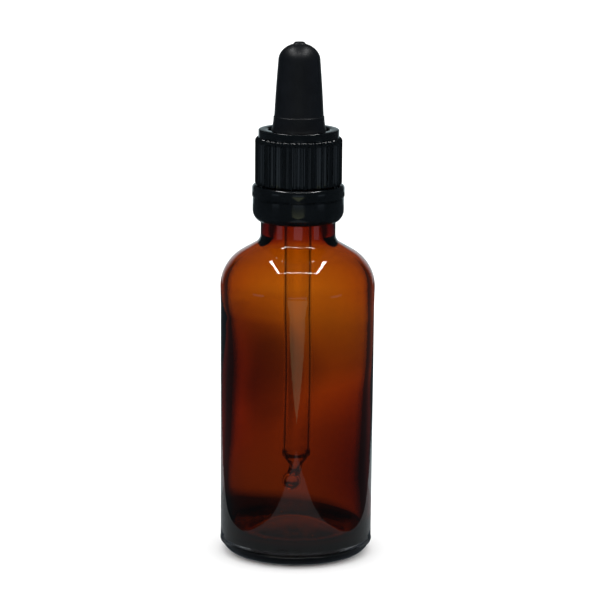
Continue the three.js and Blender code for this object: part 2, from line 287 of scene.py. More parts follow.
@dataclass(frozen=True)
class MattPaper:
    """Pale matt paper: its colour and the fine fibre that keeps it from looking like plastic."""

    name: str
    colour: str
    roughness: float
    fibre_length: float
    fibre_height: float

    def material(self) -> bpy.types.Material:
        """Builds the paper's shader and its fibre.

        Returns:
            The paper.
        """
        made = blank_material(self.name)
        tree = made.node_tree
        place = add_node(tree, "ShaderNodeTexCoord")
        fibre = add_node(
            tree, "ShaderNodeTexNoise",
            {"Vector": place.outputs["Object"], "Scale": 1 / (self.fibre_length * MM)},
        )
        bump = add_node(
            tree, "ShaderNodeBump",
            {"Height": fibre.outputs["Fac"], "Distance": self.fibre_height * MM, "Strength": 0.3},
        )
        shader = add_node(
            tree, "ShaderNodeBsdfPrincipled",
            {
                "Base Color": linear(self.colour),
                "Roughness": self.roughness,
                "Specular IOR Level": 0.1,
                "Normal": bump.outputs["Normal"],
            },
        )
        add_node(tree, "ShaderNodeOutputMaterial", {"Surface": shader.outputs["BSDF"]})
        return made


# Amber container glass, coloured by iron and sulphur in the melt: it passes red, some green, no blue.
AMBER_GLASS = SodaLimeGlass(
    name="amber_container_glass",
    absorbed_tint=(0.855, 0.637, 0.02),
    absorption_per_metre=2080.0,
    ripple_length=14.0,
    ripple_height=0.012,
)
# Clear drawn tube: colourless but for a green cast in its thickest part, with lines along the draw.
DRAWN_GLASS = SodaLimeGlass(
    name="clear_drawn_glass",
    absorbed_tint=(0.80, 0.95, 0.88),
    absorption_per_metre=12.0,
    ripple_length=3.0,
    ripple_height=0.004,
    ripple_stretch=12.0,
)
# Polypropylene from a polished mould: black to the eye, glossy, with a slight cloudiness in the gloss.
POLYPROPYLENE = MouldedPolymer(
    name="moulded_polypropylene",
    colour="040608",
    worn_colour="070a0d",
    roughness=0.12,
    roughness_spread=0.03,
    grain_length=0.5,
    grain_height=0.004,
    ior=1.49,
)
# Butyl rubber from a blasted mould: black with a blue-grey bloom, satin, with a fine even grain.
BUTYL_RUBBER = MouldedPolymer(
    name="moulded_butyl_rubber",
    colour="060a10",
    worn_colour="0a0f16",
    roughness=0.4,
    roughness_spread=0.05,
    grain_length=0.35,
    grain_height=0.02,
    ior=1.36,
)
# Backdrop paper laid on the table: all but white, with no shine. Its fibre is drawn coarse, at 1.1 mm.
BACKDROP_PAPER = MattPaper(
    name="matt_paper", colour="f4f4f4", roughness=0.9, fibre_length=10 / 9, fibre_height=0.02
)


# ---------------------------------------------------------------- outlines


def arc(centre: tuple[float, float], size: float, start: float, stop: float, steps: int) -> Outline:
    """Draws an arc in the half-plane of a turned piece.

    Args:
        centre: The arc centre's radius and height.
        size: The arc's own radius.
        start: First angle in degrees, from the outward direction towards up.
        stop: Last angle in degrees.
        steps: How many straight steps the arc takes.

    Returns:
        The arc's points, both ends included.
    """
    angles = [math.radians(start + (stop - start) * i / steps) for i in range(steps + 1)]
    return [(centre[0] + size * math.cos(a), centre[1] + size * math.sin(a)) for a in angles]


def bow(start: tuple[float, float], stop: tuple[float, float], sag: float, steps: int) -> Outline:
    """Draws a gently bowed line between two points of an outline.

    Args:
        start: First radius and height.
        stop: Last radius and height.
        sag: How far the middle stands out from the straight line, away from the axis.
        steps: How many straight steps the line takes.

    Returns:
        The line's points, both ends included.
    """
    points = []
    for i in range(steps + 1):
        share = i / steps
        radius = start[0] + (stop[0] - start[0]) * share + sag * math.sin(math.pi * share)
        points.append((radius, start[1] + (stop[1] - start[1]) * share))
    return points


# ---------------------------------------------------------------- modelling tools


def deselect_all() -> None:
    """Leaves every object deselected, in object mode."""
    if bpy.context.object and bpy.context.object.mode != "OBJECT":
        bpy.ops.object.mode_set(mode="OBJECT")
    bpy.ops.object.select_all(action="DESELECT")


def pick(piece: Piece) -> None:
    """Leaves one piece alone selected and active, in object mode.

    Args:
        piece: The piece to pick.
    """
    deselect_all()
    piece.select_set(True)
    bpy.context.view_layer.objects.active = piece


def edit(piece: Piece) -> None:
    """Makes a piece active and enters edit mode with nothing selected.

    Args:
        piece: The piece to edit.
    """
    pick(piece)
    bpy.ops.object.mode_set(mode="EDIT")
    bpy.ops.mesh.select_all(action="DESELECT")


def select_where(piece: Piece, wanted: VertexTest) -> None:
    """Selects the vertices of a piece in edit mode that pass a test on their place.

    Args:
        piece: The piece being edited.
        wanted: Takes a vertex's place and says whether to select it.
    """
    bpy.ops.mesh.select_all(action="DESELECT")
    bpy.ops.mesh.select_mode(type="VERT")
    bpy.ops.object.mode_set(mode="OBJECT")
    for vertex in piece.data.vertices:
        vertex.select = wanted(vertex.co)
    bpy.ops.object.mode_set(mode="EDIT")


def turn_selected(angle: float) -> None:
    """Turns the selection about the bottle's axis, by an angle in radians."""
    bpy.ops.transform.rotate(value=angle, orient_axis="Z", center_override=(0, 0, 0))


def add_primitive(name: str, add: Callable[..., Any], **sizes: Any) -> Piece:
    """Adds a primitive with everything else deselected, and names it.

    Args:
        name: The new piece's name.
        add: The operator that adds it.
        **sizes: The operator's settings, with lengths in metres.

    Returns:
        The new piece.
    """
    deselect_all()
    add(**sizes)
    piece = bpy.context.object
    piece.name = piece.data.name = name
    return piece


def start_point(name: str, place: tuple[float, float, float]) -> Piece:
    """Starts a piece as one vertex, and stays in edit mode for it to be extruded.

    Args:
        name: The piece's name.
        place: The vertex's place, in metres.

    Returns:
        The new piece.
    """
    piece = add_primitive(name, bpy.ops.mesh.primitive_plane_add, size=MM)
    bpy.ops.object.mode_set(mode="EDIT")
    bpy.ops.mesh.select_mode(type="VERT")
    bpy.ops.mesh.select_all(action="SELECT")
    bpy.ops.mesh.merge(type="CENTER")
    bpy.ops.transform.translate(value=place)
    return piece


def close_mesh() -> None:
    """Welds the mesh in edit mode, turns its faces outwards and goes back to object mode."""
    bpy.ops.mesh.select_all(action="SELECT")
    bpy.ops.mesh.remove_doubles(threshold=WELD)
    bpy.ops.mesh.normals_make_consistent(inside=False)
    bpy.ops.object.mode_set(mode="OBJECT")


def turn_on_lathe(name: str, outline: Outline, facets: int) -> Piece:
    """Draws an outline by extruding one point, and spins it round the bottle's axis.

    Args:
        name: The piece's name.
        outline: Radius and height of each point, in millimetres.
        facets: How many facets a full turn takes.

    Returns:
        A closed piece with its faces pointing out.
    """
    piece = start_point(name, (outline[0][0] * MM, 0, outline[0][1] * MM))
    for before, after in zip(outline, outline[1:]):
        step = ((after[0] - before[0]) * MM, 0, (after[1] - before[1]) * MM)
        bpy.ops.mesh.extrude_region_move(TRANSFORM_OT_translate={"value": step})
    bpy.ops.mesh.select_all(action="SELECT")
    bpy.ops.mesh.spin(steps=facets, angle=FULL_TURN, center=(0, 0, 0), axis=(0, 0, 1))
    close_mesh()
    return piece


def apply_modifier(piece: Piece, kind: str, **settings: Any) -> None:
    """Adds a modifier to a piece, sets it and applies it.

    Args:
        piece: The piece to change.
        kind: The modifier's type, such as "BOOLEAN".
        **settings: The modifier's own settings.
    """
    pick(piece)
    bpy.ops.object.modifier_add(type=kind)
    modifier = piece.modifiers[-1]
    for key, value in settings.items():
        setattr(modifier, key, value)
    bpy.ops.object.modifier_apply(modifier=modifier.name)


def join(pieces: Sequence[Piece]) -> Piece:
    """Joins several pieces into the first one.

    Args:
        pieces: The pieces to join.

    Returns:
        The first piece, with the others in it.
    """
    pick(pieces[0])
    for piece in pieces[1:]:
        piece.select_set(True)
    bpy.ops.object.join()
    return pieces[0]


def fuse(body: Piece, addition: Piece) -> None:
    """Unites an addition with a body, and removes the addition."""
    apply_modifier(body, "BOOLEAN", operation="UNION", solver="EXACT", object=addition)
    bpy.data.objects.remove(addition)


def smooth(piece: Piece, sharp_angle: float) -> None:
    """Shades a piece smooth, except across edges sharper than an angle in degrees."""
    pick(piece)
    bpy.ops.object.shade_smooth_by_angle(angle=math.radians(sharp_angle))


def dress(piece: Piece, material: bpy.types.Material, slot: str, body: str, *nodes: str) -> Piece:
    """Gives a piece its finish, and ties it to the CAD frame.

    Args:
        piece: The finished piece.
        material: Its material.
        slot: The record's material slot; not used.
        body: The CAD body that it rides on.
        *nodes: The CAD nodes that it stands for.

    Returns:
        The same piece.
    """
    piece.data.materials.clear()
    piece.data.materials.append(material)
    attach(piece, body)
    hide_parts(*nodes)
    return piece


@dataclass(frozen=True)
class ScrewThread:
    """A single-start round thread, as on an 18 mm dropper finish."""

    pitch: float = 3.0
    turns: float = 1.5
    root_width: float = 1.6
    crest_width: float = 0.8
    steps_per_turn: int = 48

    def ridge(self, name: str, base: float, crest: float, top: float) -> Piece:
        """Winds the ridge up round the axis.

        Args:
            name: The ridge's name.
            base: Radius of its buried base.
            crest: Radius of its crest.
            top: Height of the middle of its last turn.

        Returns:
            A closed ridge.
        """
        start = top - self.pitch * self.turns
        section = [
            (base, start - self.root_width / 2),
            (crest, start - self.crest_width / 2),
            (crest, start + self.crest_width / 2),
            (base, start + self.root_width / 2),
        ]
        ridge = add_primitive(name, bpy.ops.mesh.primitive_plane_add, size=MM)
        for vertex, (radius, height) in zip((0, 1, 3, 2), section):
            ridge.data.vertices[vertex].co = (radius * MM, 0, height * MM)
        bpy.ops.object.mode_set(mode="EDIT")
        bpy.ops.mesh.select_all(action="SELECT")
        for _ in range(round(self.turns * self.steps_per_turn)):
            bpy.ops.mesh.extrude_region()
            turn_selected(-FULL_TURN / self.steps_per_turn)
            bpy.ops.transform.translate(value=(0, 0, self.pitch * MM / self.steps_per_turn))
        close_mesh()
        return ridge


THREAD = ScrewThread()


# ---------------------------------------------------------------- glass bottle


@dataclass
class GlassBottle:
    """The blow-moulded amber bottle, thick at the base and thin at the shoulder."""

    body_radius: float = 18.6
    body_spread: float = 0.16
    heel: float = 4.2
    bearing_ring: float = 3.2
    push_up: float = 1.5
    push_up_steps: int = 10
    seam_height: float = 3.1
    seam_proud: float = 0.09
    seam_foot: float = 0.35
    seam_flat: float = 0.1
    wall_start: float = 5.0
    wall_bow: float = 0.03
    body_top: float = 62.0
    shoulder_start: float = 66.5
    shoulder_swell: float = 0.1
    shoulder_arc: float = 10.0
    shoulder_sweep: float = 60.0
    neck_radius: float = 9.1
    neck_fillet: float = 2.84
    bead_radius: float = 9.95
    bead_underside: float = 86.1
    bead_height: float = 1.1
    bead_corner: float = 0.3
    bead_undercut: float = 0.4
    bead_slope_top: float = 89.0
    slope_ease: float = 0.1
    finish_radius: float = 7.9
    thread_crest: float = 8.95
    thread_top: float = 98.7
    thread_bury: float = 0.2
    rim_top: float = 101.0
    rim_round: float = 0.7
    bore: float = 5.7
    bore_fillet: float = 7.0
    bore_round: float = 0.5
    floor_top: float = 4.8
    floor_steps: int = 10
    dome_slope: float = 30.0
    inner_heel: float = 3.6
    inner_wall_start: float = 2.0
    wall_at_top: float = 1.62
    wall_at_foot: float = 2.35
    wall_swell: float = 0.55
    core_reach: float = 17.4
    core_margin: float = 1.0
    high_shift: float = 0.5
    high_middle: float = 49.0
    high_spread: float = 11.0
    low_shift: float = 0.45
    low_middle: float = 19.0
    low_spread: float = 8.0
    dot_radius: float = 0.22
    dot_height: float = 4.8
    dot_sunk: float = 0.02
    dot_pitch: float = 3.2
    first_dot: int = 4
    dot_steps: tuple[int, ...] = (1, 1, 2, 1, 5)
    facets: int = 160
    sharp_angle: float = 32.0
    piece: Piece | None = field(default=None, init=False)

    def _shoulder(self, start_radius: float, arc_size: float, neck: float, fillet: float) -> Outline:
        """Draws the shoulder's arc, its straight slope and the hollow fillet into the neck.

        Args:
            start_radius: The radius at which the shoulder starts.
            arc_size: The radius of the shoulder's own arc.
            neck: The radius that the fillet ends at.
            fillet: The fillet's own radius.

        Returns:
            The shoulder's points, from the body up to the neck.
        """
        sweep = math.radians(self.shoulder_sweep)
        centre = start_radius - arc_size
        arc_end_radius = centre + arc_size * math.cos(sweep)
        arc_end_height = self.shoulder_start + arc_size * math.sin(sweep)
        slope = (arc_end_radius - neck - fillet * (1 - math.cos(sweep))) / math.sin(sweep)
        fillet_top = arc_end_height + slope * math.cos(sweep) + fillet * math.sin(sweep)
        return [
            *arc((centre, self.shoulder_start), arc_size, 0, self.shoulder_sweep, 16),
            *arc((neck + fillet, fillet_top), fillet, 180 + self.shoulder_sweep, 180, 10),
        ]

    def _outside(self) -> Outline:
        """Draws the outside, from the middle of the base up to the rim.

        Returns:
            The outside's points.
        """
        ring_outer = self.body_radius - self.heel
        ring_inner = ring_outer - self.bearing_ring
        shares = [i / self.push_up_steps for i in range(self.push_up_steps)]
        push_up = [(ring_inner * i, self.push_up * math.cos(math.pi / 2 * i)) for i in shares]
        proud = self.body_radius + self.seam_proud
        seam = [
            (self.body_radius, self.seam_height - self.seam_foot),
            (proud, self.seam_height - self.seam_flat),
            (proud, self.seam_height + self.seam_flat),
            (self.body_radius, self.seam_height + self.seam_foot),
        ]
        top = self.body_radius + self.body_spread
        bead_top = self.bead_underside + self.bead_height
        bead_middle = self.bead_radius - self.bead_corner
        rim_corner = (self.finish_radius - self.rim_round, self.rim_top - self.rim_round)
        return [
            *push_up,
            (ring_inner, 0.0),
            *arc((ring_outer, self.heel), self.heel, -90, 0, 14),
            *seam,
            *bow((self.body_radius, self.wall_start), (top, self.body_top), self.wall_bow, 14),
            *self._shoulder(
                top + self.shoulder_swell, self.shoulder_arc, self.neck_radius, self.neck_fillet
            ),
            (self.neck_radius, self.bead_underside - self.bead_undercut),
            *arc((bead_middle, self.bead_underside + self.bead_corner), self.bead_corner, -90, 0, 4),
            *arc((bead_middle, bead_top - self.bead_corner), self.bead_corner, 0, 40, 4),
            (self.finish_radius + self.slope_ease, self.bead_slope_top - self.slope_ease),
            (self.finish_radius, self.bead_slope_top + 2 * self.slope_ease),
            *arc(rim_corner, self.rim_round, 0, 90, 6),
        ]

    def _inside(self) -> Outline:
        """Draws the hollow, from the rim down to the middle of its domed floor.

        Returns:
            The hollow's points.
        """
        top = self.body_radius + self.body_spread - self.wall_at_top
        foot = self.body_radius - self.wall_at_foot
        heel_middle = (foot - self.inner_heel, self.floor_top + self.inner_heel)
        heel = arc(heel_middle, self.inner_heel, -90 - self.dome_slope, 0, 14)
        edge, gutter = heel[0]
        rise = edge * math.tan(math.radians(self.dome_slope)) / 2
        shares = [i / self.floor_steps for i in range(self.floor_steps)]
        wall_foot = (foot, heel[-1][1] + self.inner_wall_start)
        rim_corner = (self.bore + self.bore_round, self.rim_top - self.bore_round)
        inner = [
            *((edge * i, gutter + rise * (1 - i**2)) for i in shares),
            *heel,
            *bow(wall_foot, (top, self.body_top), -self.wall_swell, 26),
            *self._shoulder(top, self.shoulder_arc - self.wall_at_top, self.bore, self.bore_fillet),
            (self.bore, self.rim_top - self.rim_round),
            *arc(rim_corner, self.bore_round, 180, 90, 5),
        ]
        return inner[::-1]

    def _shift_core(self) -> None:
        """Moves the middle of the hollow sideways, so that one wall is thicker, as blowing leaves it."""
        edit(self.piece)
        low = self.inner_heel + self.floor_top + self.core_margin
        high = self.body_top - self.core_margin
        reach = self.core_reach * MM
        rings = sorted({
            round(v.co.z / MM, 3)
            for v in self.piece.data.vertices
            if low < v.co.z / MM < high and math.hypot(v.co.x, v.co.y) < reach
        })
        for height in rings:
            upper = math.exp(-(((height - self.high_middle) / self.high_spread) ** 2))
            lower = math.exp(-(((height - self.low_middle) / self.low_spread) ** 2))
            shift = self.high_shift * upper - self.low_shift * lower
            select_where(
                self.piece,
                lambda co: abs(co.z / MM - height) < RING_GAP and math.hypot(co.x, co.y) < reach,
            )
            bpy.ops.transform.translate(value=(shift * MM, 0, 0))
        bpy.ops.object.mode_set(mode="OBJECT")

    def _mould_dots(self) -> Piece:
        """Models one raised mould mark on the heel, and copies it round part of the foot.

        Returns:
            The marks, as one piece.
        """
        dots = add_primitive(
            "mould_dots", bpy.ops.mesh.primitive_uv_sphere_add,
            segments=10, ring_count=6, radius=self.dot_radius * MM,
            location=(0, -(self.body_radius - self.dot_sunk) * MM, self.dot_height * MM),
        )
        bpy.ops.object.transform_apply(location=True, rotation=False, scale=False)
        angle = math.radians(self.dot_pitch)
        bpy.ops.object.mode_set(mode="EDIT")
        bpy.ops.mesh.select_all(action="SELECT")
        turn_selected(angle * self.first_dot)
        for step in self.dot_steps:
            bpy.ops.mesh.duplicate()
            turn_selected(-angle * step)
        close_mesh()
        return dots

    def build(self) -> Piece:
        """Models the bottle with its thread and mould marks.

        Returns:
            The finished bottle.
        """
        self.piece = turn_on_lathe("amber_bottle", [*self._outside(), *self._inside()], self.facets)
        self._shift_core()
        base = self.finish_radius - self.thread_bury
        fuse(self.piece, THREAD.ridge("bottle_thread", base, self.thread_crest, self.thread_top))
        fuse(self.piece, self._mould_dots())
        smooth(self.piece, self.sharp_angle)
        return dress(self.piece, AMBER_GLASS.material(), "amber_glass", "bottle", "bottle")


# ---------------------------------------------------------------- cap and tamper band


@dataclass
class ScrewCap:
    """The ribbed black cap, with the hole that the teat stands in and the thread inside."""

    ribs: int = 36
    steps_per_rib: int = 8
    rib_crest: float = 10.57
    rib_depth: float = 0.5
    skirt_bore: float = 9.15
    bottom: float = 91.8
    barrel_top: float = 103.2
    corner: float = 0.85
    chamfer: float = 0.25
    rib_fullness: float = 1.5
    rib_foot: float = 1.0
    rib_head: float = 0.6
    collar_radius: float = 9.8
    collar_round: float = 0.3
    collar_ease: float = 0.02
    top: float = 105.1
    hole: float = 7.5
    plate_underside: float = 102.75
    thread_crest: float = 8.15
    thread_top: float = 97.2
    bury: float = 0.2
    bridges: int = 12
    bridge_width: float = 0.6
    bridge_radial: float = 0.5
    bridge_bottom: float = 91.64
    bridge_bevel: float = 0.08
    sharp_angle: float = 38.0
    piece: Piece | None = field(default=None, init=False)

    def _outline(self) -> Outline:
        """Draws the cap's section, closed on itself.

        Returns:
            The section's points.
        """
        barrel_corner = (self.rib_crest - self.corner, self.barrel_top - self.corner)
        rib_foot = (self.rib_crest, self.bottom + self.rib_foot)
        rib_head = (self.rib_crest, barrel_corner[1] - self.rib_head)
        collar_corner = (self.collar_radius - self.collar_round, self.top - self.collar_round)
        hole_corner = (self.hole + self.collar_round, self.top - self.collar_round)
        return [
            (self.skirt_bore, self.bottom),
            (self.rib_crest - self.chamfer, self.bottom),
            (self.rib_crest, self.bottom + self.chamfer),
            *bow(rib_foot, rib_head, 0.0, 6),
            *arc(barrel_corner, self.corner, 0, 90, 8),
            (self.collar_radius, self.barrel_top + self.collar_ease),
            *arc(collar_corner, self.collar_round, 0, 90, 5),
            *arc(hole_corner, self.collar_round, 90, 180, 5),
            (self.hole, self.plate_underside),
            (self.skirt_bore, self.plate_underside),
            (self.skirt_bore, self.bottom),
        ]

    def _press_ribs(self) -> None:
        """Presses the barrel in between the ribs, one step of the rib pattern at a time."""
        edit(self.piece)
        outer = (self.collar_radius + self.collar_ease) * MM
        half = self.steps_per_rib // 2
        for step in range(1, half + 1):
            depth = self.rib_depth * math.sin(math.pi / 2 * step / half) ** self.rib_fullness
            factor = 1 - depth / self.rib_crest

            def in_step(co: Vector) -> bool:
                """Says whether a vertex of the barrel stands this many steps from a rib's crest.

                Args:
                    co: The vertex's place.

                Returns:
                    Whether it does.
                """
                radius = math.hypot(co.x, co.y)
                if radius < outer or co.z > self.barrel_top * MM - HAIR:
                    return False
                turn = math.atan2(co.y, co.x) / FULL_TURN * self.ribs * self.steps_per_rib
                phase = round(turn) % self.steps_per_rib
                return min(phase, self.steps_per_rib - phase) == step

            select_where(self.piece, in_step)
            bpy.ops.transform.resize(value=(factor, factor, 1), center_override=(0, 0, 0))
        bpy.ops.object.mode_set(mode="OBJECT")

    def _bridge_stubs(self) -> Piece:
        """Models one snapped bridge stub, and copies it round the skirt.

        Returns:
            The stubs, as one piece.
        """
        height = self.bottom + self.bury - self.bridge_bottom
        stubs = add_primitive("bridge_stubs", bpy.ops.mesh.primitive_cube_add, size=1)
        stubs.scale = (self.bridge_radial * MM, self.bridge_width * MM, height * MM)
        middle = self.bridge_bottom + height / 2
        stubs.location = ((self.skirt_bore + self.bridge_radial) * MM, 0, middle * MM)
        bpy.ops.object.transform_apply(location=True, rotation=False, scale=True)
        bpy.ops.object.mode_set(mode="EDIT")
        bpy.ops.mesh.select_all(action="SELECT")
        bpy.ops.mesh.bevel(offset=self.bridge_bevel * MM, segments=2)
        bpy.ops.mesh.select_all(action="SELECT")
        for _ in range(self.bridges - 1):
            bpy.ops.mesh.duplicate()
            turn_selected(FULL_TURN / self.bridges)
        bpy.ops.object.mode_set(mode="OBJECT")
        return stubs

    def build(self) -> Piece:
        """Models the cap.

        Returns:
            The finished cap.
        """
        facets = self.ribs * self.steps_per_rib
        self.piece = turn_on_lathe("ribbed_cap", self._outline(), facets)
        self._press_ribs()
        base = self.skirt_bore + self.bury
        fuse(self.piece, THREAD.ridge("cap_thread", base, self.thread_crest, self.thread_top))
        fuse(self.piece, self._bridge_stubs())
        smooth(self.piece, self.sharp_angle)
        return dress(
            self.piece, POLYPROPYLENE.material(), "black_polypropylene", "cap", "screw_cap"
        )


@dataclass
class TamperBand:
    """The ring under the cap that stays on the neck when the cap is first turned."""

    top: float = 91.6
    bottom: float = 82.8
    lip_radius: float = 11.25
    radius: float = 11.1
    lip_bottom: float = 88.8
    lip_ease: float = 0.05
    groove_radius: float = 10.9
    groove_height: float = 0.5
    round_start: float = 85.4
    foot_radius: float = 9.65
    foot_fullness: float = 1.6
    foot_steps: int = 12
    bore: float = 10.2
    bore_round: float = 0.15
    bead_bore: float = 9.35
    bead_top: float = 85.8
    bead_height: float = 1.0
    bead_lead_in: float = 0.2
    edge: float = 0.75
    facets: int = 160
    sharp_angle: float = 38.0

    def build(self) -> Piece:
        """Models the band.

        Returns:
            The finished band.
        """
        foot_height = self.round_start - self.bottom
        foot_width = self.radius - self.foot_radius
        foot = []
        for i in range(self.foot_steps + 1):
            angle = math.pi / 2 * i / self.foot_steps
            radius = self.foot_radius + foot_width * math.sin(angle) ** self.foot_fullness
            foot.append((radius, self.round_start - foot_height * math.cos(angle)))
        groove_middle = self.lip_bottom - self.groove_height / 2
        lip_corner = (self.lip_radius - self.edge, self.top - self.edge)
        bore_corner = (self.bore + self.bore_round, self.top - self.bore_round)
        outline = [
            *foot,
            (self.radius, self.lip_bottom - self.groove_height),
            *arc((self.radius, groove_middle), self.radius - self.groove_radius, 250, 110, 6),
            (self.lip_radius - self.lip_ease, self.lip_bottom),
            (self.lip_radius, self.lip_bottom + 2 * self.lip_ease),
            *arc(lip_corner, self.edge, 0, 90, 6),
            *arc(bore_corner, self.bore_round, 90, 180, 3),
            (self.bore, self.bead_top),
            (self.bead_bore, self.bead_top - self.bead_lead_in),
            (self.bead_bore, self.bead_top - self.bead_height),
            (self.bead_bore + self.bead_lead_in, self.bottom),
            foot[0],
        ]
        band = turn_on_lathe("tamper_ring", outline, self.facets)
        smooth(band, self.sharp_angle)
        return dress(
            band, POLYPROPYLENE.material(), "black_polypropylene", "tamper_band", "tamper_band"
        )


# ---------------------------------------------------------------- rubber teat


@dataclass
class RubberTeat:
    """The one-piece teat: flange and sleeve inside the cap, flared foot, step and squeeze bulb."""

    flange_radius: float = 8.8
    flange_bottom: float = 101.1
    flange_top: float = 102.65
    flange_edge: float = 0.2
    collar_radius: float = 7.3
    collar_top: float = 103.9
    flare_radius: float = 6.6
    flare_top: float = 105.1
    flare_hollow: float = 0.1
    step: float = 108.4
    step_radius: float = 6.15
    step_round: float = 0.12
    step_ease: float = 0.15
    sleeve_radius: float = 5.1
    sleeve_bottom: float = 93.0
    sleeve_taper: float = 0.4
    taper_height: float = 1.2
    grip: float = 3.55
    grip_top: float = 105.0
    cavity: float = 4.2
    bulb_foot: float = 5.98
    bulb_neck: float = 5.1
    bulb_shoulder: float = 121.7
    top: float = 126.2
    bulb_swell: float = 0.05
    gate_radius: float = 1.3
    gate_height: float = 0.3
    gate_round: float = 0.2
    gate_lift: float = 0.06
    gate_gap: float = 0.1
    wall: float = 1.4
    squeezed_share: float = 0.52
    bulge_share: float = 0.45
    pinch_height: float = 0.9
    pinch_fullness: float = 0.7
    dome_steps: int = 24
    crown_steps: int = 10
    facets: int = 128
    sharp_angle: float = 40.0
    piece: Piece | None = field(default=None, init=False)

    def _outline(self) -> Outline:
        """Draws the teat's section, from the crown of its cavity round to the crown of its dome.

        Returns:
            The section's points.
        """
        shoulder = self.bulb_shoulder
        dome_height = self.top - self.gate_height - shoulder
        dome = []
        for i in range(self.dome_steps):
            angle = math.pi / 2 * i / self.dome_steps
            radius = self.bulb_neck * math.cos(angle)
            if radius > self.gate_radius + self.gate_gap:
                dome.append((radius, shoulder + dome_height * math.sin(angle)))
        cavity_neck = self.bulb_neck - self.wall
        crown_height = dome_height - self.wall
        angles = [math.pi / 2 * i / self.crown_steps for i in range(self.crown_steps + 1)]
        crown = [
            (cavity_neck * math.sin(a), shoulder + crown_height * math.cos(a)) for a in angles
        ]
        step_top = self.step - self.step_round
        flare_foot = (self.flare_radius, self.flare_top)
        flare_head = (self.step_radius, step_top - self.step_ease)
        step_corner = (self.step_radius - self.step_round, step_top - self.step_round)
        bulb_head = (self.bulb_neck, self.bulb_shoulder)
        gate_corner = (self.gate_radius - self.gate_round, self.top - self.gate_round)
        return [
            *crown,
            *bow((cavity_neck, self.bulb_shoulder - 1), (self.cavity, self.step), 0.0, 10),
            (self.cavity, self.grip_top + self.cavity - self.grip),
            (self.grip, self.grip_top),
            (self.grip, self.sleeve_bottom),
            (self.sleeve_radius - self.sleeve_taper, self.sleeve_bottom),
            (self.sleeve_radius, self.sleeve_bottom + self.taper_height),
            (self.sleeve_radius, self.flange_bottom),
            (self.flange_radius - self.flange_edge, self.flange_bottom),
            (self.flange_radius, self.flange_bottom + self.flange_edge),
            (self.flange_radius, self.flange_top - self.flange_edge),
            (self.flange_radius - self.flange_edge, self.flange_top),
            (self.collar_radius, self.flange_top),
            (self.collar_radius, self.collar_top),
            *bow(flare_foot, flare_head, -self.flare_hollow, 6),
            *arc(step_corner, self.step_round, 0, 80, 3),
            *bow((self.bulb_foot, self.step), bulb_head, self.bulb_swell, 22)[:-1],
            *dome,
            (self.gate_radius, self.top - self.gate_height + self.gate_lift),
            *arc(gate_corner, self.gate_round, 20, 90, 3),
            (0.0, self.top),
        ]

    def _store_pinch(self) -> None:
        """Stores each vertex's place at rest, and how much of a pinch it takes by its height."""
        mesh = self.piece.data
        foot = self.step * MM
        crown = self.top * MM
        rest = mesh.attributes.new("place_at_rest", "FLOAT_VECTOR", "POINT")
        for index, vertex in enumerate(mesh.vertices):
            rest.data[index].vector = vertex.co
        part = mesh.attributes.new("pinch_share", "FLOAT", "POINT")
        for index, vertex in enumerate(mesh.vertices):
            rise = min(1.0, max(0.0, (vertex.co.z - foot) / (crown - foot)))
            share = max(0.0, math.sin(math.pi * rise**self.pinch_height))
            part.data[index].value = share**self.pinch_fullness

    def _pinch(self) -> None:
        """Adds the modifier that turns the frame's flattening into a pinch of the bulb alone.

        The flattening moves every vertex towards the axis by one share of its distance. The modifier
        reads that share from the widest vertex, and gives each vertex its own part of it: none at the
        foot, the most half-way up, with the rubber bulging out the other way.
        """
        tree = bpy.data.node_groups.new("teat_pinch", "GeometryNodeTree")
        for way in ("INPUT", "OUTPUT"):
            tree.interface.new_socket("Geometry", in_out=way, socket_type="NodeSocketGeometry")
        shape = add_node(tree, "NodeGroupInput")
        now = add_node(tree, "GeometryNodeInputPosition")
        now_xyz = add_node(tree, "ShaderNodeSeparateXYZ", {0: now.outputs[0]})
        stored = "GeometryNodeInputNamedAttribute"
        rest = add_node(tree, stored, {"Name": "place_at_rest"}, data_type="FLOAT_VECTOR")
        share = add_node(tree, stored, {"Name": "pinch_share"}, data_type="FLOAT")
        widest = add_node(
            tree, "GeometryNodeAttributeStatistic",
            {"Geometry": shape.outputs[0], "Attribute": now_xyz.outputs["X"]},
            data_type="FLOAT",
        )
        ratio = add_node(
            tree, "ShaderNodeMath",
            {0: widest.outputs["Max"], 1: self.flange_radius * MM}, operation="DIVIDE",
        )
        pressed = add_node(
            tree, "ShaderNodeMath", {0: 1.0, 1: ratio.outputs[0]}, operation="SUBTRACT"
        )
        amount = add_node(
            tree, "ShaderNodeMath",
            {0: pressed.outputs[0], 1: share.outputs["Attribute"]}, operation="MULTIPLY",
        )
        # X shrinks by the amount, Y grows by the bulge's share of it, and Z stays.
        stretch = add_node(
            tree, "ShaderNodeVectorMath",
            {0: amount.outputs[0], 1: (-1.0, self.bulge_share, 0.0), 2: (1.0, 1.0, 1.0)},
            operation="MULTIPLY_ADD",
        )
        place = add_node(
            tree, "ShaderNodeVectorMath",
            {0: rest.outputs["Attribute"], 1: stretch.outputs[0]}, operation="MULTIPLY",
        )
        moved = add_node(
            tree, "GeometryNodeSetPosition",
            {"Geometry": shape.outputs[0], "Position": place.outputs[0]},
        )
        add_node(tree, "NodeGroupOutput", {0: moved.outputs[0]})
        self.piece.modifiers.new("pinch", "NODES").node_group = tree

    def build(self) -> Piece:
        """Models the teat.

        Returns:
            The finished teat.
        """
        self.piece = turn_on_lathe("rubber_teat", self._outline(), self.facets)
        smooth(self.piece, self.sharp_angle)
        self._store_pinch()
        self._pinch()
        dress(
            self.piece, BUTYL_RUBBER.material(), "black_rubber", "dropper", "teat_seat", "teat_bulb"
        )
        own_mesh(self.piece)
        return self.piece


# ---------------------------------------------------------------- glass pipette


